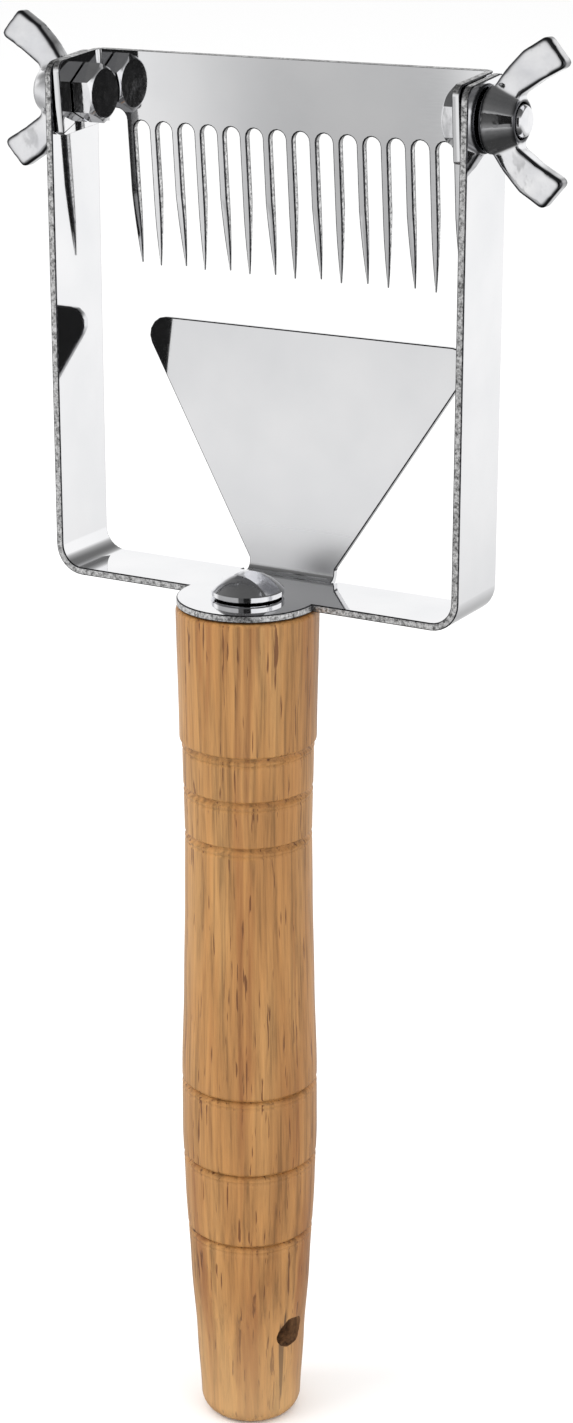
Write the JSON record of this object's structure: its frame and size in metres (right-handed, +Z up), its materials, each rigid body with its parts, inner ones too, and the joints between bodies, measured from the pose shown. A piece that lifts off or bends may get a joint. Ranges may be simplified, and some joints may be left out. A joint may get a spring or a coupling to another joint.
{
  "type": "uncapping fork",
  "caption": "Hand tool for opening capped honeycomb: turned wooden handle, bent steel frame with a guide plate, and a toothed comb that tilts between wing nuts.",
  "frame": {"origin": "centre of the handle's flat butt, with the handle upright", "axes": "+Z up the handle towards the comb, +X along the bolt axis to the comb's right, -Y to the side that the comb's ears point to"},
  "size_m": [0.1192, 0.0382, 0.2864],
  "materials": {
    "varnished_wood": "turned light hardwood under satin varnish",
    "polished_steel": "mirror-polished stainless sheet with sheared edges",
    "bright_plating": "bright plated hardware"
  },
  "bodies": {
    "handle_and_frame": {"handle": "varnished_wood", "frame": "polished_steel", "handle_screw": "bright_plating"},
    "comb": {"comb": "polished_steel", "bolt_left": "bright_plating", "bolt_right": "bright_plating"},
    "wing_nut_left": {"wing_nut_left": "bright_plating"},
    "wing_nut_right": {"wing_nut_right": "bright_plating"}
  },
  "joints": [
    {"name": "comb_tilt", "type": "hinge", "parent": "handle_and_frame", "child": "comb", "pos_m": [0, 0.0103, 0.2714], "axis": [1, 0, 0], "continuous": true},
    {"name": "wing_nut_left_turn", "type": "hinge", "parent": "comb", "child": "wing_nut_left", "pos_m": [-0.048, 0.0103, 0.2714], "axis": [1, 0, 0], "continuous": true},
    {"name": "wing_nut_right_turn", "type": "hinge", "parent": "comb", "child": "wing_nut_right", "pos_m": [0.048, 0.0103, 0.2714], "axis": [1, 0, 0], "continuous": true}
  ]
}
